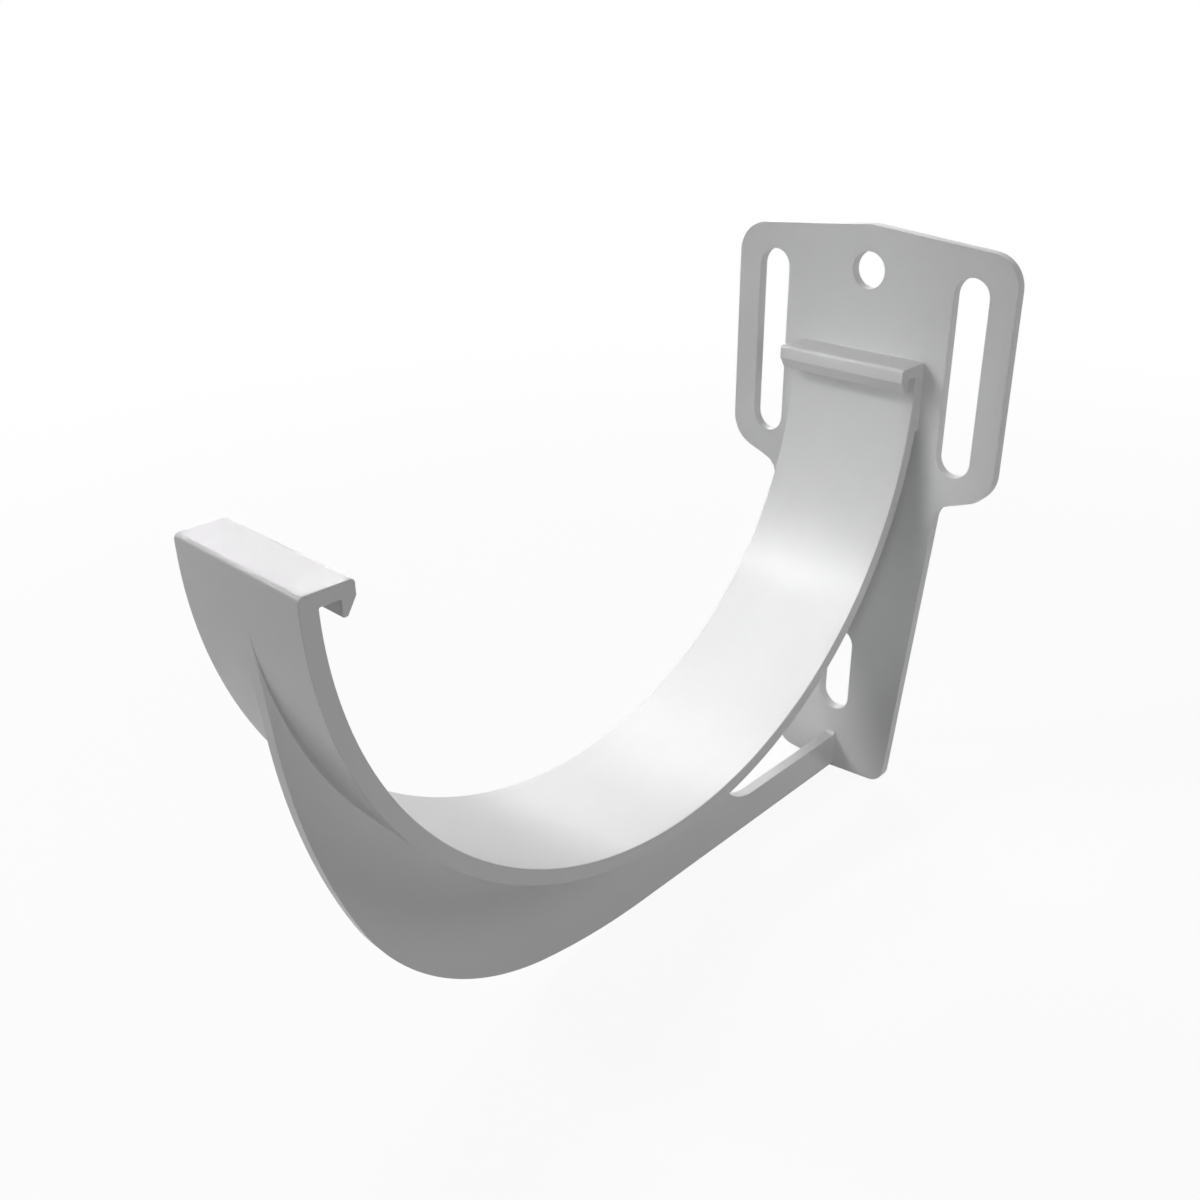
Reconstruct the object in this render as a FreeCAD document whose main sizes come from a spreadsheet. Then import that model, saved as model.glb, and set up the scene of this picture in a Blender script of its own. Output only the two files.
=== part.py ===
import FreeCAD, Part
import math
import os

import Sketcher

# Fascia bracket for a half-round rain gutter, moulded in one piece: a flat plate that screws to
# the board, a half-round band that the gutter drops into, a front lip and a rear catch that
# snap over the gutter's edges, and one upright web that stiffens the band and braces its
# underside against the foot of the plate.
#
# Millimetres, +Z up. X = 0 is the plane of symmetry. The back of the plate, which lies on the
# fascia board, is the plane Y = 0 and faces +Y. Z = 0 is the level of the gutter's axis.
# Levels count up from there and depths count down from there.

SIZES = [
    # the half-round band
    ("cradle_radius", 62.5, "inside of the band, for a gutter of nominal 125"),
    ("band_thickness", 2.55, "wall of the band"),
    ("band_width", 26.4, "width of band, lip and catch"),
    ("rear_wall", 2.55, "plate's front face to the rearmost point of the seat"),
    ("root_depth", 10.8, "depth to which band and plate are one block"),
    # the front lip, which holds the gutter's bead down
    ("lip_level", 1.7, "top of the front lip"),
    ("lip_thickness", 2.05, "thickness of the lip's top"),
    ("lip_depth", 7.5, "band's front face to the back of the lip"),
    ("lip_barb", 2.05, "thickness of the lip's down-turned barb"),
    ("lip_barb_drop", 2.35, "barb below the underside of the lip"),
    ("lip_barb_flat", 0.7, "flat left at the barb's tip"),
    ("lip_lead", 2.2, "height of the barb's slanting lead-in"),
    ("lip_front_radius", 0.8, "rounding of the lip's front edge"),
    ("lip_rear_radius", 0.7, "rounding of the lip's rear edge"),
    # the rear catch, which hooks over the gutter's back edge
    ("catch_level", 1.85, "top of the rear catch"),
    ("catch_thickness", 2.1, "thickness of the catch's top"),
    ("catch_reach", 7.35, "plate's front face to the front of the catch"),
    ("catch_barb", 2.5, "thickness of the catch's barb"),
    ("catch_barb_drop", 2.35, "barb below the underside of the catch"),
    ("catch_barb_flat", 1.1, "flat left at the barb's tip"),
    ("catch_lead", 2.1, "height of the barb's slanting lead-in"),
    ("catch_radius", 0.6, "rounding of the catch's front edge"),
    # the plate
    ("plate_thickness", 2.1, "thickness of the plate"),
    ("plate_width", 58.2, "widest part of the plate"),
    ("apex_level", 24.55, "middle of the top edge"),
    ("edge_slope", 5.0, "fall of the top edge and rise of the foot, degrees"),
    ("top_corner_radius", 6.0, "upper corners"),
    ("side_depth", 16.1, "lower end of the straight sides"),
    ("shoulder_slope", 20.5, "fall of the shoulders towards the stem, degrees"),
    ("shoulder_radius", 6.5, "corners below the sides"),
    ("waist_radius", 3.6, "hollows between shoulders and stem"),
    ("stem_taper", 5.0, "lean of each side of the stem, degrees"),
    ("foot_width", 26.4, "stem where its lower corners begin"),
    ("foot_depth", 89.35, "middle of the lower edge"),
    ("foot_corner_radius", 3.5, "lower corners"),
    # screw hole and slots
    ("screw_hole", 6.65, "diameter of the round screw hole"),
    ("screw_hole_level", 16.45, "its centre"),
    ("slot_width", 6.7, "width of all three slots"),
    ("side_slot_length", 36.0, "overall length of the side slots"),
    ("side_slot_offset", 20.77, "centre line of a side slot from the middle"),
    ("side_slot_depth", 0.1, "middle of the side slots"),
    ("low_slot_length", 18.95, "overall length of the low slot"),
    ("low_slot_depth", 65.6, "middle of the low slot"),
    # the web under the band and its bar to the plate
    ("web_thickness", 2.1, "thickness of the web"),
    ("web_sink", 0.01, "start of the web's edge below the band's skin"),
    ("web_lean", 5.0, "lean of the web's front edge from upright, degrees"),
    ("web_bend_radius", 48.8, "lower front bend of the web's edge"),
    ("web_end_radius", 112.0, "gentle bends above and behind it"),
    ("web_upper_turn", 18.5, "turn of the gentle bend above, degrees"),
    ("web_rear_turn", 12.2, "turn of the gentle bend behind, degrees"),
    ("brace_height", 7.2, "height of the level bar that meets the plate"),
    ("brace_rise", 0.87, "its underside above the tip of the foot"),
    ("brace_chamfer", 0.6, "small slope where the bar's top meets the plate"),
    ("window_reach", 38.6, "plate's front face to the front of the opening"),
    ("window_radius", 10.0, "lower front corner of the opening"),
]

doc = FreeCAD.newDocument("GutterBracket")
sheet = doc.addObject("Spreadsheet::Sheet", "Sizes")
for row, (alias, value, note) in enumerate(SIZES, start=1):
    sheet.set("A%d" % row, alias)
    sheet.set("B%d" % row, str(value))
    sheet.set("C%d" % row, note)
    sheet.setAlias("B%d" % row, alias)
doc.recompute()


def size(alias):
    """The value of one cell of the table of sizes."""
    return float(sheet.get(alias))


# a sketch counts the points of an edge up from 1, and its level and upright axes down from -1
START, END, CENTRE = range(1, 4)
LEVEL_AXIS, UPRIGHT_AXIS = range(-1, -3, -1)
ORIGIN = (LEVEL_AXIS, START)

bracket = doc.addObject("PartDesign::Body", "Bracket")
bracket.Label = "gutter_bracket"


def sketch_on(role, name):
    """A new sketch of the bracket on one of its own origin planes."""
    plane = [f for f in bracket.Origin.OriginFeatures if f.Role == role][0]
    sketch = bracket.newObject("Sketcher::SketchObject", name)
    sketch.AttachmentSupport = [(plane, "")]
    sketch.MapMode = "FlatFace"
    return sketch


def bind(sketch, kind, *where, to, name):
    """Adds a dimension to a sketch and ties it to the table of sizes."""
    index = sketch.addConstraint(Sketcher.Constraint(kind, *where))
    sketch.renameConstraint(index, name)
    sketch.setExpression("Constraints." + name, to)


def on_circle(centre, radius, angle):
    """The point of a circle at an angle in radians."""
    return (centre[0] + radius * math.cos(angle), centre[1] + radius * math.sin(angle))


def rounding(before, corner, after, radius):
    """Where a rounded corner begins and ends, and the centre of its arc."""
    a = FreeCAD.Vector(before[0] - corner[0], before[1] - corner[1], 0).normalize()
    b = FreeCAD.Vector(after[0] - corner[0], after[1] - corner[1], 0).normalize()
    half = a.getAngle(b) / 2
    reach = radius / math.tan(half)
    middle = (a + b).normalize() * (radius / math.sin(half))
    start = (corner[0] + a.x * reach, corner[1] + a.y * reach)
    end = (corner[0] + b.x * reach, corner[1] + b.y * reach)
    return start, end, (corner[0] + middle.x, corner[1] + middle.y)


class Outline:
    """A closed chain of straight edges and arcs, drawn in order round a sketch.

    Each edge remembers which of its two ends comes first along the chain, because an arc
    always runs anticlockwise in a sketch, whichever way round the outline goes.
    """

    def __init__(self, sketch):
        self.sketch = sketch
        self.edges = []

    def line(self, start, end):
        segment = Part.LineSegment(FreeCAD.Vector(*start, 0), FreeCAD.Vector(*end, 0))
        self.edges.append((self.sketch.addGeometry(segment), START, END))
        return self.edges[-1][0]

    def arc(self, centre, start, end, clockwise=False):
        first, last = (end, start) if clockwise else (start, end)
        angles = [math.atan2(p[1] - centre[1], p[0] - centre[0]) for p in (first, last)]
        radius = math.dist(centre, start)
        circle = Part.Circle(FreeCAD.Vector(*centre, 0), FreeCAD.Vector(0, 0, 1), radius)
        number = self.sketch.addGeometry(Part.ArcOfCircle(circle, *angles))
        self.edges.append((number, END, START) if clockwise else (number, START, END))
        return number

    def close(self, sharp=()):
        """Joins each edge to the next: smoothly, or at a plain corner after the sharp edges."""
        for edge, following in zip(self.edges, self.edges[1:] + self.edges[:1]):
            kind = "Coincident" if edge[0] in sharp else "Tangent"
            self.sketch.addConstraint(
                Sketcher.Constraint(kind, edge[0], edge[2], following[0], following[1])
            )

    def first_end(self, number):
        return number, {edge[0]: edge[1] for edge in self.edges}[number]

    def last_end(self, number):
        return number, {edge[0]: edge[2] for edge in self.edges}[number]


# The plate, seen from the front: a shallow gable on top, upright sides, shoulders that sweep
# in to a tapering stem, and a foot with the same shallow point as the top.

half = size("plate_width") / 2
slope = math.tan(math.radians(size("edge_slope")))
taper = math.tan(math.radians(size("stem_taper")))
fall = math.tan(math.radians(size("shoulder_slope")))
turn = math.radians(90 - size("shoulder_slope")) / 2
shoulder = -size("side_depth") - size("shoulder_radius") * math.tan(turn)
stem_foot = size("foot_width") / 2 - taper * size("foot_corner_radius")
top_corner = (half, size("apex_level") - slope * half)
shoulder_corner = (half, shoulder)
foot_corner = (stem_foot, -size("foot_depth") + slope * stem_foot)
waist_x = (shoulder - foot_corner[1] + foot_corner[0] / taper - fall * half) / (1 / taper - fall)
waist_corner = (waist_x, shoulder - fall * (half - waist_x))
corners = [
    (top_corner, size("top_corner_radius")),
    (shoulder_corner, size("shoulder_radius")),
    (waist_corner, size("waist_radius")),
    (foot_corner, size("foot_corner_radius")),
]
apex = (0, size("apex_level"))
toe = (0, -size("foot_depth"))

plate_outline = sketch_on("XZ_Plane", "PlateOutline")
outline = Outline(plate_outline)
right = [apex] + [corner for corner, radius in corners] + [toe]
rights = []
at = apex
for k, (corner, radius) in enumerate(corners, start=1):
    start, end, centre = rounding(right[k - 1], corner, right[k + 1], radius)
    rights.append(outline.line(at, start))
    rights.append(outline.arc(centre, start, end, clockwise=corner != waist_corner))
    at = end
rights.append(outline.line(at, toe))
lefts = []
at = toe
for k in range(len(corners), 0, -1):
    corner, radius = corners[k - 1]
    start, end, centre = rounding(right[k + 1], corner, right[k - 1], radius)
    start, end, centre = [(-p[0], p[1]) for p in (start, end, centre)]
    lefts.append(outline.line(at, start))
    lefts.append(outline.arc(centre, start, end, clockwise=corner != waist_corner))
    at = end
lefts.append(outline.line(at, apex))
lefts.reverse()
outline.close(sharp=(rights[-1], lefts[0]))

top, top_arc, side, side_arc, shoulder_line, waist, stem, foot_arc, foot = rights
plate_outline.addConstraint(Sketcher.Constraint("PointOnObject", top, START, UPRIGHT_AXIS))
plate_outline.addConstraint(Sketcher.Constraint("PointOnObject", foot, END, UPRIGHT_AXIS))
plate_outline.addConstraint(Sketcher.Constraint("Vertical", side))
plate_outline.addConstraint(Sketcher.Constraint("Vertical", lefts[2]))
for arc, other in zip(rights[1::2], lefts[1::2]):
    plate_outline.addConstraint(Sketcher.Constraint("Equal", arc, other))
plate_outline.addConstraint(Sketcher.Constraint("Symmetric", side, END, lefts[2], START, UPRIGHT_AXIS))

bind(plate_outline, "DistanceY", *ORIGIN, top, START, size("apex_level"),
     to="Sizes.apex_level", name="apex_level")
bind(plate_outline, "DistanceY", foot, END, *ORIGIN, size("foot_depth"),
     to="Sizes.foot_depth", name="foot_depth")
bind(plate_outline, "DistanceX", lefts[2], START, side, END, size("plate_width"),
     to="Sizes.plate_width", name="plate_width")
bind(plate_outline, "DistanceY", side, END, *ORIGIN, size("side_depth"),
     to="Sizes.side_depth", name="side_depth")
bind(plate_outline, "DistanceX", *ORIGIN, stem, END, size("foot_width") / 2,
     to="Sizes.foot_width / 2", name="foot_right")
bind(plate_outline, "DistanceX", lefts[6], START, *ORIGIN, size("foot_width") / 2,
     to="Sizes.foot_width / 2", name="foot_left")
for arc, alias in (
    (top_arc, "top_corner_radius"),
    (side_arc, "shoulder_radius"),
    (waist, "waist_radius"),
    (foot_arc, "foot_corner_radius"),
):
    bind(plate_outline, "Radius", arc, size(alias), to="Sizes." + alias, name=alias)
for edge, angle, to, name in (
    (top, -size("edge_slope"), "-Sizes.edge_slope * 1 deg", "right_top"),
    (lefts[0], size("edge_slope"), "Sizes.edge_slope * 1 deg", "left_top"),
    (foot, -180 + size("edge_slope"), "(Sizes.edge_slope - 180) * 1 deg", "right_foot"),
    (lefts[8], 180 - size("edge_slope"), "(180 - Sizes.edge_slope) * 1 deg", "left_foot"),
    (shoulder_line, -180 + size("shoulder_slope"),
     "(Sizes.shoulder_slope - 180) * 1 deg", "right_shoulder"),
    (lefts[4], 180 - size("shoulder_slope"),
     "(180 - Sizes.shoulder_slope) * 1 deg", "left_shoulder"),
    (stem, -90 - size("stem_taper"), "(-90 - Sizes.stem_taper) * 1 deg", "right_stem"),
    (lefts[6], 90 + size("stem_taper"), "(90 + Sizes.stem_taper) * 1 deg", "left_stem"),
):
    bind(plate_outline, "Angle", edge, math.radians(angle), to=to, name=name)

plate = bracket.newObject("PartDesign::Pad", "Plate")
plate.Profile = plate_outline
plate.setExpression("Length", "Sizes.plate_thickness")
doc.recompute()

# One round hole for the first screw and three slots for the others: the slots let the bracket
# slide up and down for the gutter's fall before the screws are tightened.

openings = sketch_on("XZ_Plane", "ScrewOpenings")
hole = openings.addGeometry(
    Part.Circle(FreeCAD.Vector(0, size("screw_hole_level"), 0), FreeCAD.Vector(0, 0, 1),
                size("screw_hole") / 2)
)
openings.addConstraint(Sketcher.Constraint("PointOnObject", hole, CENTRE, UPRIGHT_AXIS))
bind(openings, "Diameter", hole, size("screw_hole"), to="Sizes.screw_hole", name="screw_hole")
bind(openings, "DistanceY", *ORIGIN, hole, CENTRE, size("screw_hole_level"),
     to="Sizes.screw_hole_level", name="screw_hole_level")


def upright_slot(x, depth, length, x_to, depth_to, length_to, name):
    """A slot with round ends, as wide as the others, dimensioned to its middle."""
    radius = size("slot_width") / 2
    reach = length / 2 - radius
    slot = Outline(openings)
    up = slot.line((x + radius, -depth - reach), (x + radius, -depth + reach))
    over = slot.arc((x, -depth + reach), (x + radius, -depth + reach), (x - radius, -depth + reach))
    slot.line((x - radius, -depth + reach), (x - radius, -depth - reach))
    under = slot.arc((x, -depth - reach), (x - radius, -depth - reach), (x + radius, -depth - reach))
    slot.close()
    openings.addConstraint(Sketcher.Constraint("Vertical", up))
    openings.addConstraint(Sketcher.Constraint("Equal", over, under))
    bind(openings, "Radius", over, radius, to="Sizes.slot_width / 2", name=name + "_radius")
    bind(openings, "DistanceY", under, CENTRE, over, CENTRE, 2 * reach,
         to=length_to + " - Sizes.slot_width", name=name + "_length")
    bind(openings, "DistanceY", under, CENTRE, *ORIGIN, depth + reach,
         to="%s + (%s - Sizes.slot_width) / 2" % (depth_to, length_to), name=name + "_depth")
    if x_to is None:
        openings.addConstraint(Sketcher.Constraint("PointOnObject", over, CENTRE, UPRIGHT_AXIS))
    else:
        bind(openings, "DistanceX", *ORIGIN, over, CENTRE, x, to=x_to, name=name + "_offset")


side_slot = (size("side_slot_depth"), size("side_slot_length"))
side_slot_to = ("Sizes.side_slot_depth", "Sizes.side_slot_length")
upright_slot(size("side_slot_offset"), *side_slot, "Sizes.side_slot_offset", *side_slot_to,
             "right_slot")
upright_slot(-size("side_slot_offset"), *side_slot, "-Sizes.side_slot_offset", *side_slot_to,
             "left_slot")
upright_slot(0, size("low_slot_depth"), size("low_slot_length"), None, "Sizes.low_slot_depth",
             "Sizes.low_slot_length", "low_slot")

pierced = bracket.newObject("PartDesign::Pocket", "PiercedPlate")
pierced.Profile = openings
pierced.Reversed = True
pierced.setExpression("Length", "Sizes.plate_thickness")
doc.recompute()

# The band with its lip and catch, seen from the side and as wide as the gutter seat. Its front
# runs straight up into the lip; its rear is one block with the plate down to root_depth, and
# below that the band curves away from the plate. It reaches halfway into the plate, so that
# the two are fused over the block's whole height.

axis_y = -(size("plate_thickness") + size("rear_wall") + size("cradle_radius"))
axis = (axis_y, 0)
seat = size("cradle_radius")
skin = seat + size("band_thickness")
in_plate = -size("plate_thickness") / 2
AXIS_TO = "-(Sizes.plate_thickness + Sizes.rear_wall + Sizes.cradle_radius)"
SKIN_TO = "Sizes.cradle_radius + Sizes.band_thickness"

front = axis_y - skin
lip_back = front + size("lip_depth")
lip_under = size("lip_level") - size("lip_thickness")
lip_tip = lip_under - size("lip_barb_drop")
catch_front = -(size("plate_thickness") + size("catch_reach"))
catch_under = size("catch_level") - size("catch_thickness")
catch_tip = catch_under - size("catch_barb_drop")
barb_inside = lip_back - size("lip_barb")
catch_inside = catch_front + size("catch_barb")
seat_front = (axis_y - math.sqrt(seat**2 - lip_under**2), lip_under)
seat_rear = (axis_y + math.sqrt(seat**2 - catch_under**2), catch_under)
skin_rear = (axis_y + math.sqrt(skin**2 - size("root_depth") ** 2), -size("root_depth"))

band_outline = sketch_on("YZ_Plane", "BandOutline")
outline = Outline(band_outline)
face = outline.line((front, 0), (front, size("lip_level") - size("lip_front_radius")))
lip_nose = outline.arc(
    (front + size("lip_front_radius"), size("lip_level") - size("lip_front_radius")),
    (front, size("lip_level") - size("lip_front_radius")),
    (front + size("lip_front_radius"), size("lip_level")),
    clockwise=True,
)
lip_top = outline.line((front + size("lip_front_radius"), size("lip_level")),
                       (lip_back - size("lip_rear_radius"), size("lip_level")))
lip_heel = outline.arc(
    (lip_back - size("lip_rear_radius"), size("lip_level") - size("lip_rear_radius")),
    (lip_back - size("lip_rear_radius"), size("lip_level")),
    (lip_back, size("lip_level") - size("lip_rear_radius")),
    clockwise=True,
)
lip_rear = outline.line((lip_back, size("lip_level") - size("lip_rear_radius")),
                        (lip_back, lip_tip + size("lip_lead")))
lip_lead = outline.line((lip_back, lip_tip + size("lip_lead")),
                        (barb_inside + size("lip_barb_flat"), lip_tip))
lip_flat = outline.line((barb_inside + size("lip_barb_flat"), lip_tip), (barb_inside, lip_tip))
lip_inner = outline.line((barb_inside, lip_tip), (barb_inside, lip_under))
lip_roof = outline.line((barb_inside, lip_under), seat_front)
seat_arc = outline.arc(axis, seat_front, seat_rear)
catch_roof = outline.line(seat_rear, (catch_inside, catch_under))
catch_inner = outline.line((catch_inside, catch_under), (catch_inside, catch_tip))
catch_flat = outline.line((catch_inside, catch_tip),
                          (catch_inside - size("catch_barb_flat"), catch_tip))
catch_lead = outline.line((catch_inside - size("catch_barb_flat"), catch_tip),
                          (catch_front, catch_tip + size("catch_lead")))
catch_face = outline.line((catch_front, catch_tip + size("catch_lead")),
                          (catch_front, size("catch_level") - size("catch_radius")))
catch_nose = outline.arc(
    (catch_front + size("catch_radius"), size("catch_level") - size("catch_radius")),
    (catch_front, size("catch_level") - size("catch_radius")),
    (catch_front + size("catch_radius"), size("catch_level")),
    clockwise=True,
)
catch_top = outline.line((catch_front + size("catch_radius"), size("catch_level")),
                         (in_plate, size("catch_level")))
root_back = outline.line((in_plate, size("catch_level")), (in_plate, -size("root_depth")))
root_under = outline.line((in_plate, -size("root_depth")), skin_rear)
skin_arc = outline.arc(axis, skin_rear, (front, 0), clockwise=True)
outline.close(
    sharp=(lip_rear, lip_lead, lip_flat, lip_inner, lip_roof, seat_arc, catch_roof, catch_inner,
           catch_flat, catch_lead, catch_top, root_back, root_under)
)

for edge in (face, lip_rear, lip_inner, catch_inner, catch_face, root_back):
    band_outline.addConstraint(Sketcher.Constraint("Vertical", edge))
for edge in (lip_top, lip_flat, lip_roof, catch_roof, catch_flat, catch_top, root_under):
    band_outline.addConstraint(Sketcher.Constraint("Horizontal", edge))
band_outline.addConstraint(Sketcher.Constraint("Coincident", seat_arc, CENTRE, skin_arc, CENTRE))
band_outline.addConstraint(Sketcher.Constraint("PointOnObject", seat_arc, CENTRE, LEVEL_AXIS))

for kind, where, value, to, name in (
    ("DistanceX", (*ORIGIN, seat_arc, CENTRE), axis_y, AXIS_TO, "axis"),
    ("Radius", (seat_arc,), seat, "Sizes.cradle_radius", "seat"),
    ("Radius", (skin_arc,), skin, SKIN_TO, "skin"),
    ("DistanceX", (*ORIGIN, *outline.first_end(root_back)), in_plate,
     "-Sizes.plate_thickness / 2", "root_back"),
    ("DistanceY", (*outline.last_end(root_back), *ORIGIN), size("root_depth"),
     "Sizes.root_depth", "root_depth"),
    ("DistanceY", (*ORIGIN, *outline.first_end(lip_top)), size("lip_level"),
     "Sizes.lip_level", "lip_level"),
    ("DistanceX", (*outline.first_end(face), *outline.first_end(lip_rear)),
     size("lip_depth"), "Sizes.lip_depth", "lip_depth"),
    ("DistanceY", (*outline.first_end(lip_roof), *outline.first_end(lip_top)),
     size("lip_thickness"), "Sizes.lip_thickness", "lip_thickness"),
    ("DistanceX", (*outline.first_end(lip_inner), *outline.first_end(lip_rear)),
     size("lip_barb"), "Sizes.lip_barb", "lip_barb"),
    ("DistanceY", (*outline.first_end(lip_inner), *outline.last_end(lip_inner)),
     size("lip_barb_drop"), "Sizes.lip_barb_drop", "lip_barb_drop"),
    ("DistanceX", (*outline.last_end(lip_flat), *outline.first_end(lip_flat)),
     size("lip_barb_flat"), "Sizes.lip_barb_flat", "lip_barb_flat"),
    ("DistanceY", (*outline.last_end(lip_lead), *outline.first_end(lip_lead)),
     size("lip_lead"), "Sizes.lip_lead", "lip_lead"),
    ("Radius", (lip_nose,), size("lip_front_radius"), "Sizes.lip_front_radius", "lip_nose"),
    ("Radius", (lip_heel,), size("lip_rear_radius"), "Sizes.lip_rear_radius", "lip_heel"),
    ("DistanceY", (*ORIGIN, *outline.last_end(catch_top)), size("catch_level"),
     "Sizes.catch_level", "catch_level"),
    ("DistanceX", (*outline.last_end(catch_face), *ORIGIN), -catch_front,
     "Sizes.plate_thickness + Sizes.catch_reach", "catch_reach"),
    ("DistanceY", (*outline.last_end(catch_roof), *outline.first_end(catch_top)),
     size("catch_thickness"), "Sizes.catch_thickness", "catch_thickness"),
    ("DistanceX", (*outline.last_end(catch_face), *outline.first_end(catch_inner)),
     size("catch_barb"), "Sizes.catch_barb", "catch_barb"),
    ("DistanceY", (*outline.last_end(catch_inner), *outline.first_end(catch_inner)),
     size("catch_barb_drop"), "Sizes.catch_barb_drop", "catch_barb_drop"),
    ("DistanceX", (*outline.last_end(catch_flat), *outline.first_end(catch_flat)),
     size("catch_barb_flat"), "Sizes.catch_barb_flat", "catch_barb_flat"),
    ("DistanceY", (*outline.first_end(catch_lead), *outline.last_end(catch_lead)),
     size("catch_lead"), "Sizes.catch_lead", "catch_lead"),
    ("Radius", (catch_nose,), size("catch_radius"), "Sizes.catch_radius", "catch_nose"),
):
    bind(band_outline, kind, *where, value, to=to, name=name)

band = bracket.newObject("PartDesign::Pad", "Band")
band.Profile = band_outline
band.SideType = "Symmetric"
band.setExpression("Length", "Sizes.band_width")
doc.recompute()

# The web lies in the plane of symmetry. Its edge leaves the front of the band almost along the
# skin, bends round below in one easy sweep of three tangent arcs and runs level to the plate.
# Behind the band it is open down to the level bar that props the band off the foot.

lean = math.radians(size("web_lean"))
bend = size("web_bend_radius")
gentle = size("web_end_radius")
upper_turn = math.radians(size("web_upper_turn"))
rear_turn = math.radians(size("web_rear_turn"))
heading = math.pi / 2 - lean
under = size("brace_rise") - size("foot_depth")
above = under + size("brace_height")
window_front = -(size("plate_thickness") + size("window_reach"))
middle = seat + size("band_thickness") / 2
start_radius = skin - size("web_sink")
start = on_circle(axis, start_radius, math.pi + lean)

rise_rear = gentle * (1 - math.cos(rear_turn))
rise_bend = bend * (math.cos(rear_turn) - math.cos(heading - upper_turn))
rise_upper = gentle * (math.cos(heading - upper_turn) - math.cos(heading))
run_bend = bend * (math.sin(heading - upper_turn) - math.sin(rear_turn))
run_upper = gentle * (math.sin(heading) - math.sin(heading - upper_turn))
top_z = under + rise_rear + rise_bend + rise_upper
top_point = (start[0] + (start[1] - top_z) * math.tan(lean), top_z)
bend_top = (top_point[0] + run_upper, top_z - rise_upper)
bend_low = (bend_top[0] + run_bend, bend_top[1] - rise_bend)
level_start = (bend_low[0] + gentle * math.sin(rear_turn), under)
upper_centre = (bend_top[0] + gentle * math.sin(heading - upper_turn),
                bend_top[1] + gentle * math.cos(heading - upper_turn))
bend_centre = (bend_low[0] + bend * math.sin(rear_turn), bend_low[1] + bend * math.cos(rear_turn))
rear_centre = (level_start[0], under + gentle)
window_top = (window_front, -math.sqrt(middle**2 - (window_front - axis_y) ** 2))
window_low = (window_front, above + size("window_radius"))
bar_front = (window_front + size("window_radius"), above)
bar_rear = (-size("plate_thickness") - size("brace_chamfer"), above)
bar_top = (-size("plate_thickness"), above + size("brace_chamfer"))
root = (axis_y - math.sqrt(middle**2 - start[1] ** 2), start[1])

web_outline = sketch_on("YZ_Plane", "WebOutline")
outline = Outline(web_outline)
web_front = outline.line(start, top_point)
web_upper = outline.arc(upper_centre, top_point, bend_top)
web_bend = outline.arc(bend_centre, bend_top, bend_low)
web_rear = outline.arc(rear_centre, bend_low, level_start)
web_under = outline.line(level_start, (in_plate, under))
web_back = outline.line((in_plate, under), (in_plate, bar_top[1]))
web_step = outline.line((in_plate, bar_top[1]), bar_top)
web_slope = outline.line(bar_top, bar_rear)
bar = outline.line(bar_rear, bar_front)
window_corner = outline.arc((bar_front[0], window_low[1]), bar_front, window_low, clockwise=True)
window_edge = outline.line(window_low, window_top)
web_seat = outline.arc(axis, window_top, root, clockwise=True)
web_root = outline.line(root, start)
outline.close(
    sharp=(web_under, web_back, web_step, web_slope, window_edge, web_seat, web_root)
)

for edge in (web_back, window_edge):
    web_outline.addConstraint(Sketcher.Constraint("Vertical", edge))
for edge in (web_under, web_step, bar, web_root):
    web_outline.addConstraint(Sketcher.Constraint("Horizontal", edge))
web_outline.addConstraint(Sketcher.Constraint("Equal", web_upper, web_rear))
web_outline.addConstraint(Sketcher.Constraint("PointOnObject", web_seat, CENTRE, LEVEL_AXIS))

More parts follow.
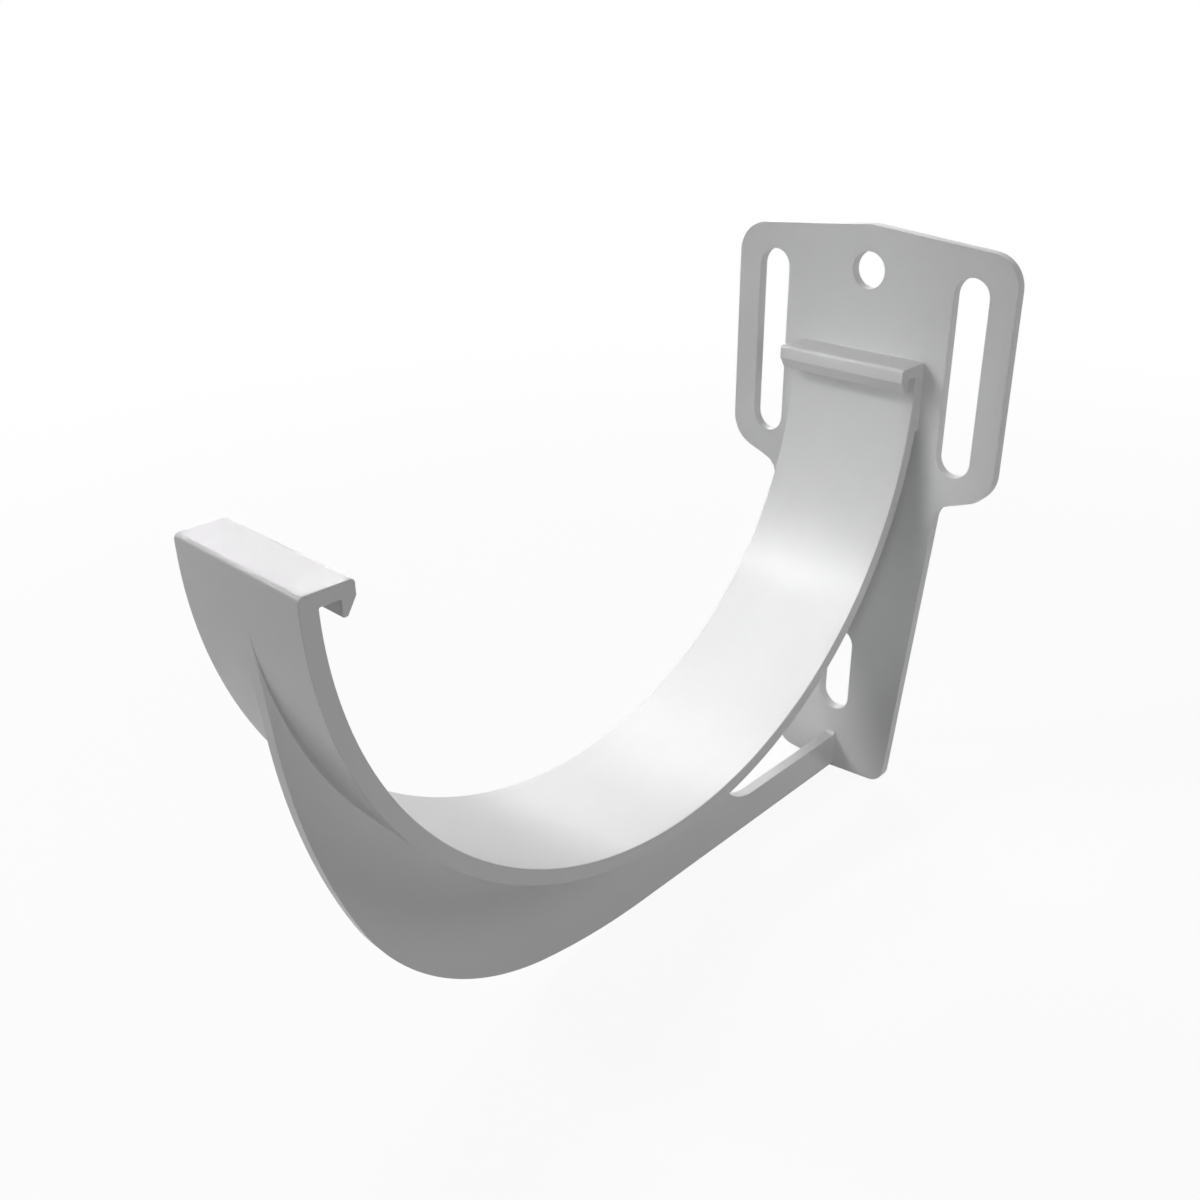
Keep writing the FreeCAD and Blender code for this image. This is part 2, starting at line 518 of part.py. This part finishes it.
START_TO = "(%s - Sizes.web_sink)" % SKIN_TO
HEADING_TO = "(90 - Sizes.web_lean - Sizes.web_upper_turn)"
for kind, where, value, to, name in (
    ("DistanceX", (*ORIGIN, web_seat, CENTRE), axis_y, AXIS_TO, "axis"),
    ("Radius", (web_seat,), middle, "Sizes.cradle_radius + Sizes.band_thickness / 2", "middle"),
    ("DistanceX", (*ORIGIN, *outline.first_end(web_front)), start[0],
     "%s - %s * cos(Sizes.web_lean * 1 deg)" % (AXIS_TO, START_TO), "start_run"),
    ("DistanceY", (*outline.first_end(web_front), *ORIGIN), -start[1],
     "%s * sin(Sizes.web_lean * 1 deg)" % START_TO, "start_fall"),
    ("Angle", (web_front,), -heading, "(Sizes.web_lean - 90) * 1 deg", "lean"),
    ("Radius", (web_upper,), gentle, "Sizes.web_end_radius", "gentle"),
    ("Radius", (web_bend,), bend, "Sizes.web_bend_radius", "bend"),
    ("DistanceY", (*outline.last_end(web_upper), *outline.first_end(web_upper)), rise_upper,
     "Sizes.web_end_radius * (cos(%s * 1 deg) - sin(Sizes.web_lean * 1 deg))" % HEADING_TO,
     "upper_turn"),
    ("DistanceX", (*outline.first_end(web_rear), *outline.last_end(web_rear)),
     gentle * math.sin(rear_turn), "Sizes.web_end_radius * sin(Sizes.web_rear_turn * 1 deg)",
     "rear_turn"),
    ("DistanceY", (*outline.last_end(web_under), *ORIGIN), -under,
     "Sizes.foot_depth - Sizes.brace_rise", "under"),
    ("DistanceX", (*ORIGIN, *outline.first_end(web_back)), in_plate,
     "-Sizes.plate_thickness / 2", "back"),
    ("DistanceY", (*outline.last_end(web_under), *outline.first_end(bar)),
     size("brace_height"), "Sizes.brace_height", "brace_height"),
    ("DistanceX", (*outline.first_end(web_slope), *ORIGIN), size("plate_thickness"),
     "Sizes.plate_thickness", "plate_front"),
    ("DistanceX", (*outline.first_end(bar), *outline.first_end(web_slope)),
     size("brace_chamfer"), "Sizes.brace_chamfer", "chamfer_run"),
    ("DistanceY", (*outline.first_end(bar), *outline.first_end(web_slope)),
     size("brace_chamfer"), "Sizes.brace_chamfer", "chamfer_rise"),
    ("DistanceX", (*outline.last_end(window_edge), *ORIGIN), -window_front,
     "Sizes.plate_thickness + Sizes.window_reach", "window_reach"),
    ("Radius", (window_corner,), size("window_radius"), "Sizes.window_radius", "window"),
):
    bind(web_outline, kind, *where, value, to=to, name=name)

web = bracket.newObject("PartDesign::Pad", "Web")
web.Profile = web_outline
web.SideType = "Symmetric"
web.setExpression("Length", "Sizes.web_thickness")
bracket.Tip = web
bracket.Placement = FreeCAD.Placement()
doc.recompute()

for sketch in (plate_outline, openings, band_outline, web_outline):
    freedom = sketch.solve()
    if freedom != 0 or not sketch.FullyConstrained:
        raise RuntimeError("%s isn't fully dimensioned (%s)" % (sketch.Name, freedom))
for thing in doc.Objects:
    if "Invalid" in thing.State or "Error" in thing.State:
        raise RuntimeError("%s failed: %s" % (thing.Name, thing.State))
if pierced.Shape.Volume >= plate.Shape.Volume:
    raise RuntimeError("the screw openings aren't cut")
shape = bracket.Shape
if shape.isNull() or not shape.isValid() or len(shape.Solids) != 1:
    raise RuntimeError("the bracket isn't one valid solid")

os.makedirs("parts", exist_ok=True)
shape.exportStep("parts/%s.step" % bracket.Label)
print("%s: %.0f mm3, box %s" % (bracket.Label, shape.Volume, shape.BoundBox))
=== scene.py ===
import math

import bpy
import numpy as np
from mathutils.geometry import tessellate_polygon
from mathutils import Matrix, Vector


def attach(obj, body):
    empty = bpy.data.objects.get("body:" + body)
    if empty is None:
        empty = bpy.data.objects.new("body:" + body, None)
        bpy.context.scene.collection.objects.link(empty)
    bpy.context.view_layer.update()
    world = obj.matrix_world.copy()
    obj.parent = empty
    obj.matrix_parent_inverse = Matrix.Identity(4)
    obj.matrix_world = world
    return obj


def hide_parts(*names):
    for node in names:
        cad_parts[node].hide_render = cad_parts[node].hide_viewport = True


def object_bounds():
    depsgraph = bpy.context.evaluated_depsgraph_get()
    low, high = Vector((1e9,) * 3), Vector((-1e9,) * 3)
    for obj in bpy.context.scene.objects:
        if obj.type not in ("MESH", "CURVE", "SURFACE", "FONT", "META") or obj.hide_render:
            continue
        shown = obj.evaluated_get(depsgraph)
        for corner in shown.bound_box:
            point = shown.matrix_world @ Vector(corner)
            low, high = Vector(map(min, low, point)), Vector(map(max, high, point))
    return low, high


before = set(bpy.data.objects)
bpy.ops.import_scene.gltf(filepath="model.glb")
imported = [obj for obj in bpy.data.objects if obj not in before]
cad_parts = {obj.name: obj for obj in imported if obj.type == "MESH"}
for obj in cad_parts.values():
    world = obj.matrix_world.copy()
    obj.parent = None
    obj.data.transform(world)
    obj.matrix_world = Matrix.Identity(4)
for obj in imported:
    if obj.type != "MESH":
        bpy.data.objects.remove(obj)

cad_box = [list(corner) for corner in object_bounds()]


# The fixing plate is a flat wall of moulded uPVC that screws to the fascia board: a shallow
# gable on top, upright sides, shoulders that sweep in to a tapering stem, and a foot as
# pointed as the top. A round hole takes the first screw and three slots take the others.
MM = 0.001
EDGE = 0.12 * MM                  # radius that the mould leaves along the edges of plate and band
CORNER = 0.2 * MM                 # and on every corner of an outline
CORNER_TURN = math.radians(20.0)  # a corner that turns less than this stays as it is
CHORD_GAP = 0.004 * MM            # furthest that an arc drawn as chords strays from the true one
EDGE_POINTS = 5                   # points across the rounding along an edge
PLATE_THICKNESS = 2.1 * MM
PLATE_HALF = 29.1 * MM
APEX = 24.55 * MM
TOE = -89.35 * MM
GABLE = math.radians(5.0)         # fall of the top edge to each side, and rise of the foot
TAPER = math.radians(5.0)         # lean of each side of the stem
SHOULDER = math.radians(20.5)     # fall of the shoulders towards the stem
SIDE_END = -16.1 * MM
TOP_ROUND, SHOULDER_ROUND, WAIST_ROUND, FOOT_ROUND = 6.0 * MM, 6.5 * MM, 3.6 * MM, 3.5 * MM
STEM_END_HALF = 13.2 * MM         # half the stem's width where its foot begins to round
HOLE = (16.45 * MM, 3.325 * MM)   # level and radius
SLOT_RADIUS = 3.35 * MM
SLOTS = ((-20.77 * MM, -0.1 * MM, 36.0 * MM),     # middle and length of each slot
         (20.77 * MM, -0.1 * MM, 36.0 * MM),
         (0.0, -65.6 * MM, 18.95 * MM))


def unit(vectors):
    """Each row divided by its length."""
    return vectors / np.linalg.norm(vectors, axis=1, keepdims=True)


def arc(centre, radius, begin, end):
    """Points of an arc, at angles that run evenly from its beginning to its end.

    A chord over an angle a strays from its arc by the radius times a squared over 8.
    """
    step = math.sqrt(8 * CHORD_GAP / radius)
    turn = np.linspace(begin, end, math.ceil(abs(end - begin) / step) + 1)
    return np.asarray(centre) + radius * np.c_[np.cos(turn), np.sin(turn)]


def rounded(outline, radii, points=7):
    """A closed outline with an arc for each corner that turns more than CORNER_TURN.

    The arc touches both sides of the corner. Its centre lies on the corner's bisector, at the
    radius over the sine of half the corner's angle; its points swing from one side to the other.
    """
    outline = np.asarray(outline, float)
    back = unit(np.roll(outline, 1, axis=0) - outline)
    on = unit(np.roll(outline, -1, axis=0) - outline)
    half = np.arccos(np.clip((back * on).sum(1), -1, 1)) / 2
    sharp = half < (math.pi - CORNER_TURN) / 2
    back, on, half = back[sharp], on[sharp], half[sharp, None]
    radius = np.broadcast_to(radii, len(outline))[sharp, None]
    inward = (on + back) / (2 * np.cos(half))
    along = (on - back) / (2 * np.sin(half))
    swing = (math.pi / 2 - half) * np.linspace(-1, 1, points)
    spokes = along[:, None] * np.sin(swing)[..., None] - inward[:, None] * np.cos(swing)[..., None]
    curves = np.repeat(outline[:, None], points, axis=1)
    centres = outline[sharp] + inward * radius / np.sin(half)
    curves[sharp] = centres[:, None] + radius[:, None] * spokes
    kept = np.ones(curves.shape[:2], bool)
    kept[~sharp, 1:] = False
    return curves[kept]


def drawn_in(outline, distance):
    """The outline moved to its left-hand side by a distance, along the mitre of each point."""
    run = unit(np.roll(outline, -1, axis=0) - outline)
    left = np.c_[-run[:, 1], run[:, 0]]
    before = np.roll(left, 1, axis=0)
    return outline + distance * (left + before) / (1 + (left * before).sum(1, keepdims=True))


def wall(name, outlines, low, high, axes, edge=EDGE):
    """A flat wall between two levels, bounded by outlines with the plastic on their left.

    Each outline is carried up the wall's thickness as a stack of rings. Along both edges the
    rings are drawn in by a quarter circle: the ring at angle a lies edge * (1 - cos a) from the
    face and edge * (1 - sin a) in from the side. Triangles between the end rings close the faces.
    """
    angle = np.linspace(0, math.pi / 2, EDGE_POINTS)
    inset = edge * (1 - np.sin(angle))
    rise = edge * (1 - np.cos(angle))
    inset, levels = np.r_[inset, inset[::-1]], np.r_[low + rise, (high - rise)[::-1]]
    stacks, faces, first, last, start = [], [], [], [], 0
    for outline in outlines:
        rings = np.array([np.c_[drawn_in(outline, distance), np.full(len(outline), level)]
                          for distance, level in zip(inset, levels)])
        stacks.append(rings.reshape(-1, 3))
        number = start + np.arange(rings.shape[0] * rings.shape[1]).reshape(rings.shape[:2])
        beside = np.roll(number, -1, axis=1)
        quads = np.stack([number[:-1], beside[:-1], beside[1:], number[1:]], axis=-1)
        faces.append(quads.reshape(-1, 4))
        first.append(number[0])
        last.append(number[-1])
        start = number[-1, -1] + 1
    points = np.concatenate(stacks)
    end = points[np.concatenate(first)]
    loops = np.split(end, np.cumsum([len(ring) for ring in first])[:-1])
    cap = np.array(tessellate_polygon([loop.tolist() for loop in loops]))
    (ax, ay), (bx, by), (cx, cy) = (end[cap[:, corner], :2].T for corner in range(3))
    turned = (bx - ax) * (cy - ay) - (by - ay) * (cx - ax) < 0
    cap[turned] = cap[turned][:, ::-1]
    faces = np.concatenate(faces).tolist()
    faces += np.concatenate(first)[cap[:, ::-1]].tolist() + np.concatenate(last)[cap].tolist()
    mesh = bpy.data.meshes.new(name)
    mesh.from_pydata(points @ np.array(axes, float), [], faces)
    return mesh


foot_reach = FOOT_ROUND / math.tan((math.pi / 2 + GABLE + TAPER) / 2)
foot_x = STEM_END_HALF - math.sin(TAPER) * foot_reach
foot = np.array((foot_x, TOE + math.tan(GABLE) * foot_x))
shoulder_reach = SHOULDER_ROUND * math.tan((math.pi / 2 - SHOULDER) / 2)
shoulder = np.array((PLATE_HALF, SIDE_END - shoulder_reach))
fall, lean = math.tan(SHOULDER), math.tan(TAPER)
run = (shoulder[0] - foot[0] - lean * (shoulder[1] - foot[1])) / (1 - lean * fall)
waist = shoulder - run * np.array((1, fall))
top = np.array((PLATE_HALF, APEX - math.tan(GABLE) * PLATE_HALF))
right = np.array((foot, waist, shoulder, top))
left = right[::-1] * (-1, 1)
rounds = [FOOT_ROUND, WAIST_ROUND, SHOULDER_ROUND, TOP_ROUND]
plate_outline = rounded(np.vstack([(0, TOE), right, (0, APEX), left]),
                        [0, *rounds, 0, *rounds[::-1]], points=19)
openings = [arc((0, HOLE[0]), HOLE[1], 2 * math.pi, 0)[:-1]]
for middle, level, length in SLOTS:
    straight = length / 2 - SLOT_RADIUS
    openings.append(np.vstack([arc((middle, level + straight), SLOT_RADIUS, math.pi, 0),
                               arc((middle, level - straight), SLOT_RADIUS, 0, -math.pi)]))
# An outline seen from the front, with its wall built up towards -Y.
FROM_FRONT = ((1, 0, 0), (0, 0, 1), (0, -1, 0))
plate = wall("plate", [plate_outline, *openings], 0, PLATE_THICKNESS, FROM_FRONT)


# The band is the half-round wall that the gutter drops into. It is one strip with the
# front lip and the rear catch, whose barbs snap over the gutter's edges, and it is moulded
# in one with the plate, whose front it runs into above the open gap behind it.
SEAT = 62.5 * MM                  # inside radius, for a gutter of nominal 125
BAND_WALL = 2.55 * MM
BAND_HALF = 13.2 * MM
REAR_WALL = 2.55 * MM             # plate's front to the rearmost point of the seat
ROOT = -10.8 * MM                 # level down to which band and plate are one block
LIP_TOP, LIP_WALL, LIP_REACH = 1.7 * MM, 2.05 * MM, 7.5 * MM
LIP_BARB, LIP_DROP, LIP_FLAT, LIP_LEAD = 2.05 * MM, 2.35 * MM, 0.7 * MM, 2.2 * MM
LIP_NOSE, LIP_HEEL = 0.8 * MM, 0.7 * MM
CATCH_TOP, CATCH_WALL, CATCH_REACH = 1.85 * MM, 2.1 * MM, 7.35 * MM
CATCH_BARB, CATCH_DROP, CATCH_FLAT, CATCH_LEAD = 2.5 * MM, 2.35 * MM, 1.1 * MM, 2.1 * MM
CATCH_NOSE = 0.6 * MM

axis = np.array((-(PLATE_THICKNESS + REAR_WALL + SEAT), 0))
in_plate = -PLATE_THICKNESS / 2
skin = SEAT + BAND_WALL
front = axis[0] - skin
lip_back = front + LIP_REACH
lip_under, catch_under = LIP_TOP - LIP_WALL, CATCH_TOP - CATCH_WALL
lip_tip, catch_tip = lip_under - LIP_DROP, catch_under - CATCH_DROP
catch_front = -PLATE_THICKNESS - CATCH_REACH
seat_ends = np.arcsin(lip_under / SEAT), np.arcsin(catch_under / SEAT)
lip = [(front, LIP_TOP), (lip_back, LIP_TOP), (lip_back, lip_tip + LIP_LEAD),
       (lip_back - LIP_BARB + LIP_FLAT, lip_tip), (lip_back - LIP_BARB, lip_tip),
       (lip_back - LIP_BARB, lip_under)]
seat = arc(axis, SEAT, math.pi - seat_ends[0], 2 * math.pi + seat_ends[1])
catch = [(catch_front + CATCH_BARB, catch_under), (catch_front + CATCH_BARB, catch_tip),
         (catch_front + CATCH_BARB - CATCH_FLAT, catch_tip), (catch_front, catch_tip + CATCH_LEAD),
         (catch_front, CATCH_TOP), (in_plate, CATCH_TOP), (in_plate, ROOT)]
back = arc(axis, skin, 2 * math.pi + math.asin(ROOT / skin), math.pi)
radii = np.full(len(lip) + len(seat) + len(catch) + len(back), CORNER)
radii[:2] = LIP_NOSE, LIP_HEEL
radii[len(lip) + len(seat) + 4] = CATCH_NOSE
band_outline = rounded(np.vstack([lip, seat, catch, back]), radii)[::-1]
# An outline seen from the side, with its wall built up towards +X.
FROM_SIDE = ((0, 1, 0), (0, 0, 1), (1, 0, 0))
band = wall("band", [band_outline], -BAND_HALF, BAND_HALF, FROM_SIDE)


# The web is the upright wall in the middle that stiffens the band from below. Its edge
# leaves the front of the band along the skin, sweeps round in three tangent arcs and runs
# level to the plate. Behind the band it is open down to the bar that props it off the foot.
WEB_HALF = 1.05 * MM
WEB_EDGE = 0.04 * MM              # its edges are crisp, so that it shows from its very start
WEB_SINK = 0.01 * MM              # start of the web's edge below the band's skin
WEB_LEAN = math.radians(5.0)
WEB_BEND, WEB_GENTLE = 48.8 * MM, 112.0 * MM
UPPER_TURN, REAR_TURN = math.radians(18.5), math.radians(12.2)
BAR_UNDER = TOE + 0.87 * MM
BAR_TOP = BAR_UNDER + 7.2 * MM
BAR_SLOPE = 0.6 * MM
WINDOW_FRONT = -PLATE_THICKNESS - 38.6 * MM
WINDOW_ROUND = 10.0 * MM

begin = axis - (skin - WEB_SINK) * np.array((math.cos(WEB_LEAN), math.sin(WEB_LEAN)))
heading = math.pi / 2 - WEB_LEAN
turns = (-heading, UPPER_TURN - heading, -REAR_TURN, 0)
sweeps = [arc((0, 0), radius, a - math.pi / 2, b - math.pi / 2)
          for radius, a, b in zip((WEB_GENTLE, WEB_BEND, WEB_GENTLE), turns, turns[1:])]
underside = sweeps[0]
for sweep in sweeps[1:]:
    underside = np.vstack([underside, sweep[1:] - sweep[0] + underside[-1]])
underside += (0, BAR_UNDER - underside[-1, 1])
underside += (begin[0] + (begin[1] - underside[0, 1]) * math.tan(WEB_LEAN) - underside[0, 0], 0)
middle = SEAT + BAND_WALL / 2
window_top = math.pi + math.acos(-(WINDOW_FRONT - axis[0]) / middle)
root = math.pi + math.asin(-begin[1] / middle)
web_outline = np.vstack([
    [begin], underside,
    [(in_plate, BAR_UNDER), (in_plate, BAR_TOP + BAR_SLOPE),
     (-PLATE_THICKNESS, BAR_TOP + BAR_SLOPE), (-PLATE_THICKNESS - BAR_SLOPE, BAR_TOP)],
    arc((WINDOW_FRONT + WINDOW_ROUND, BAR_TOP + WINDOW_ROUND), WINDOW_ROUND,
        -math.pi / 2, -math.pi),
    arc(axis, middle, window_top, root)])
web_outline = rounded(web_outline, CORNER)
web = wall("web", [web_outline], -WEB_HALF, WEB_HALF, FROM_SIDE, WEB_EDGE)


# Plate, band and web leave the mould as one piece, so the three walls are fused into one skin
# here. It is injection moulded in white uPVC, the usual plastic of rainwater goods, with no
# seam and no paint: the colour goes all the way through.
def fused(name, walls):
    """One closed mesh: the outer skin of several walls that run into each other."""
    bodies = [bpy.data.objects.new(body.name, body) for body in walls]
    for body in bodies:
        bpy.context.scene.collection.objects.link(body)
    for other in bodies[1:]:
        union = bodies[0].modifiers.new(other.name, "BOOLEAN")
        union.operation = "UNION"
        union.solver = "EXACT"
        union.object = other
    shape = bodies[0].evaluated_get(bpy.context.evaluated_depsgraph_get())
    mesh = bpy.data.meshes.new_from_object(shape)
    mesh.name = name
    for body in bodies:
        bpy.data.objects.remove(body)
    return mesh


def linear(hex_code):
    """A colour written as #RRGGBB in sRGB, turned into the linear values that a shader takes."""
    level = np.array([int(hex_code[at:at + 2], 16) for at in (1, 3, 5)]) / 255
    return *np.where(level > 0.04045, ((level + 0.055) / 1.055) ** 2.4, level / 12.92), 1.0


def add_node(tree, kind, inputs=(), **settings):
    """Adds a node with its settings.

    Each input, by name or number, takes a value or the output of another node.
    """
    node = tree.nodes.new(kind)
    for name, value in settings.items():
        setattr(node, name, value)
    for name, value in dict(inputs).items():
        if isinstance(value, bpy.types.NodeSocket):
            tree.links.new(value, node.inputs[name])
        else:
            node.inputs[name].default_value = value
    return node


# Moulded white uPVC is bright, opaque and satin: the spark-eroded mould leaves a fine grain
# that breaks up every reflection. The eye takes it from the dull, wide sheen on the roundings
# and from faint clouds where the melt cooled unevenly.
UPVC_WHITE, UPVC_SHADE = "#F0F0F0", "#EBEBEB"
UPVC_IOR = 1.53
UPVC_SHEEN = 0.4         # a polished wall has 0.5, and the grain takes a fifth of its reflection
SATIN = (0.29, 0.36)     # roughness of the glossier and the duller patches
CLOUD = 14 * MM          # across one cloud of the melt
PATCH = 4 * MM           # across one patch of duller or glossier skin
PATCH_SPAN = (0.3, 0.7)  # nearly all of the noise that makes the patches lies between these values
GRAIN = 0.45 * MM        # nine times as coarse as the real grain of 0.05 mm, so that it shows
GRAIN_HEIGHT = 0.004 * MM

upvc = bpy.data.materials.new("moulded_white_upvc")
upvc.use_nodes = True
tree = upvc.node_tree
tree.nodes.clear()
place = add_node(tree, "ShaderNodeTexCoord").outputs["Object"]
clouds = add_node(tree, "ShaderNodeTexNoise", {"Vector": place, "Scale": 1 / CLOUD, "Detail": 3.0})
FIRST, SECOND, MIXED = 6, 7, 2     # the sockets for colours on a node that mixes
tint = add_node(tree, "ShaderNodeMix",
                {"Factor": clouds.outputs["Fac"],
                 FIRST: linear(UPVC_SHADE), SECOND: linear(UPVC_WHITE)},
                data_type="RGBA")
patches = add_node(tree, "ShaderNodeTexNoise",
                   {"Vector": place, "Scale": 1 / PATCH, "Detail": 2.0})
satin = add_node(tree, "ShaderNodeMapRange",
                 {"Value": patches.outputs["Fac"],
                  "From Min": PATCH_SPAN[0], "From Max": PATCH_SPAN[1],
                  "To Min": SATIN[0], "To Max": SATIN[1]})
grain = add_node(tree, "ShaderNodeTexNoise", {"Vector": place, "Scale": 1 / GRAIN, "Detail": 2.0})
relief = add_node(tree, "ShaderNodeBump",
                  {"Height": grain.outputs["Fac"], "Distance": GRAIN_HEIGHT})
skin_shader = add_node(tree, "ShaderNodeBsdfPrincipled",
                       {"Base Color": tint.outputs[MIXED], "Roughness": satin.outputs["Result"],
                        "Normal": relief.outputs["Normal"],
                        "IOR": UPVC_IOR, "Specular IOR Level": UPVC_SHEEN})
add_node(tree, "ShaderNodeOutputMaterial", {"Surface": skin_shader.outputs["BSDF"]})

SHARP_FOLD = math.radians(30)      # a fold of more than this shows as an edge
moulding = fused("moulding", [plate, band, web])
moulding.materials.append(upvc)
moulding.shade_smooth()
moulding.set_sharp_from_angle(angle=SHARP_FOLD)
bracket = bpy.data.objects.new("gutter_bracket_moulding", moulding)
bpy.context.scene.collection.objects.link(bracket)
shading = bracket.modifiers.new("shading", "WEIGHTED_NORMAL")
shading.keep_sharp = True
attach(bracket, "root")
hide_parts("gutter_bracket")


# The floor is a plain pale sheet of studio paper that the foot of the plate stands on. The
# camera and the bracket's sheen see it white, with the bracket's soft shadow close by. To the
# rest of the light it is a duller grey, so that it doesn't light the bracket from below.
FLOOR_GAP = 0.3 * MM
FLOOR_HALF = 6.0
FLOOR_PALE, FLOOR_DULL = "#F4F4F4", "#8A8A8A"
SHADOW_SHARE = 0.07                    # share of the floor's look that comes from the light on it
SHADOW_REACH = (150 * MM, 450 * MM)    # the share fades away between these distances

floor_mesh = bpy.data.meshes.new("floor")
level = cad_box[0][2] - FLOOR_GAP
corners = [(x * FLOOR_HALF, y * FLOOR_HALF, level)
           for x, y in ((-1, -1), (1, -1), (1, 1), (-1, 1))]
floor_mesh.from_pydata(corners, [], [(0, 1, 2, 3)])
floor = bpy.data.objects.new("floor", floor_mesh)
bpy.context.scene.collection.objects.link(floor)


def white_to_eye(tree, kind, otherwise, white):
    """Shows a white shader to camera, glossy and transmission rays, and another to the rest."""
    path = add_node(tree, "ShaderNodeLightPath").outputs
    looking = path["Is Camera Ray"]
    for ray in ("Is Glossy Ray", "Is Transmission Ray"):
        either = add_node(tree, "ShaderNodeMath", {0: looking, 1: path[ray]}, operation="MAXIMUM")
        looking = either.outputs[0]
    look = add_node(tree, "ShaderNodeMixShader",
                    {0: looking, 1: otherwise.outputs[0], 2: white.outputs[0]})
    add_node(tree, kind, {"Surface": look.outputs[0]})


paper = bpy.data.materials.new("pale_studio_paper")
paper.use_nodes = True
tree = paper.node_tree
tree.nodes.clear()
place = add_node(tree, "ShaderNodeTexCoord").outputs["Object"]
away = add_node(tree, "ShaderNodeVectorMath", {0: place}, operation="LENGTH")
share = add_node(tree, "ShaderNodeMapRange",
                 {"Value": away.outputs["Value"], "From Min": SHADOW_REACH[0],
                  "From Max": SHADOW_REACH[1], "To Min": SHADOW_SHARE, "To Max": 0.0},
                 interpolation_type="SMOOTHSTEP")
pale = add_node(tree, "ShaderNodeBsdfDiffuse", {"Color": linear(FLOOR_PALE)})
dull = add_node(tree, "ShaderNodeBsdfDiffuse", {"Color": linear(FLOOR_DULL)})
glow = add_node(tree, "ShaderNodeEmission", {"Strength": 1.0})
white = add_node(tree, "ShaderNodeMixShader",
                 {0: share.outputs["Result"], 1: glow.outputs[0], 2: pale.outputs[0]})
white_to_eye(tree, "ShaderNodeOutputMaterial", dull, white)
floor_mesh.materials.append(paper)


# Soft studio light: the key softbox in front on the left, larger ones behind and on the right,
# and five small ones with a honeycomb grid that lift the seat, plate, stem and lip. Each has
# its aim, side and height in degrees, distance and width in metres, spread in degrees, and watts.
AIM = (0.0, -66 * MM, -30 * MM)
ON_SEAT = (0.0, -40 * MM, -56 * MM)
SEAT_BACK = (0.0, -24 * MM, -44 * MM)
ON_STEM = (14 * MM, -2 * MM, -50 * MM)
ON_PLATE = (0.0, -2 * MM, 6 * MM)
ON_LIP = (0.0, -129 * MM, 0.0)
SOFTBOXES = {
    "key": (AIM, 315, 37, 1.0, 0.26, 180, 2.7),
    "back_left": (AIM, 236, 50, 1.0, 0.5, 180, 3.05),
    "back_low": (AIM, 222, 20, 1.0, 0.4, 180, 1.4),
    "back_right": (AIM, 120, 35, 1.0, 0.4, 180, 0.97),
    "right": (AIM, 66, 12, 1.0, 0.5, 180, 1.55),
    "seat_grid": (ON_SEAT, 325, 60, 0.45, 0.06, 12, 0.0049),
    "seat_back_grid": (SEAT_BACK, 325, 40, 0.45, 0.06, 9, 0.0010),
    "stem_grid": (ON_STEM, 20, 8, 0.45, 0.06, 12, 0.0012),
    "plate_grid": (ON_PLATE, 342, 15, 0.45, 0.06, 12, 0.0022),
    "lip_grid": (ON_LIP, 222, 50, 0.45, 0.06, 6, 0.0042),
}
ROOM_LIGHT = 0.03                  # strength of the light from the rest of the room

for name, (aim, side, height, distance, width, spread, watts) in SOFTBOXES.items():
    side, height = math.radians(side), math.radians(height)
    toward = np.array((math.sin(side) * math.cos(height), -math.cos(side) * math.cos(height),
                       math.sin(height)))
    lamp = bpy.data.lights.new(name, "AREA")
    lamp.shape = "DISK"
    lamp.size = width
    lamp.spread = math.radians(spread)
    lamp.energy = watts
    softbox = bpy.data.objects.new(name, lamp)
    softbox.location = toward * distance + aim
    softbox.rotation_euler = (math.pi / 2 - height, 0, side)
    bpy.context.scene.collection.objects.link(softbox)

room = bpy.data.worlds.new("studio_room")
room.use_nodes = True
tree = room.node_tree
tree.nodes.clear()
dim = add_node(tree, "ShaderNodeBackground", {"Color": (1, 1, 1, 1), "Strength": ROOM_LIGHT})
bright = add_node(tree, "ShaderNodeBackground", {"Color": (1, 1, 1, 1), "Strength": 1.0})
white_to_eye(tree, "ShaderNodeOutputWorld", dim, bright)
bpy.context.scene.world = room
bpy.context.scene.view_settings.view_transform = "Standard"


# The camera stands in front of the bracket, to its right and a little above it, as for the
# photograph. Its place, turn in degrees and lens in millimetres were solved from the
# photograph; the small shift frames it.
CAMERA_PLACE = (119.032 * MM, -194.075 * MM, 59.293 * MM)
CAMERA_TURN = (65.16778, -0.16459, 42.51655)
CAMERA_LENS = 36.527
CAMERA_SHIFT = (-0.030137, -0.024112)
CAMERA_SENSOR = 36                 # millimetres, the full frame that the lens was solved for

view = bpy.data.cameras.new("camera")
view.sensor_width = CAMERA_SENSOR
view.lens = CAMERA_LENS
view.shift_x, view.shift_y = CAMERA_SHIFT
view.clip_start = 10 * MM
camera = bpy.data.objects.new("camera", view)
camera.location = CAMERA_PLACE
camera.rotation_euler = [math.radians(turn) for turn in CAMERA_TURN]
bpy.context.scene.collection.objects.link(camera)
bpy.context.scene.camera = camera
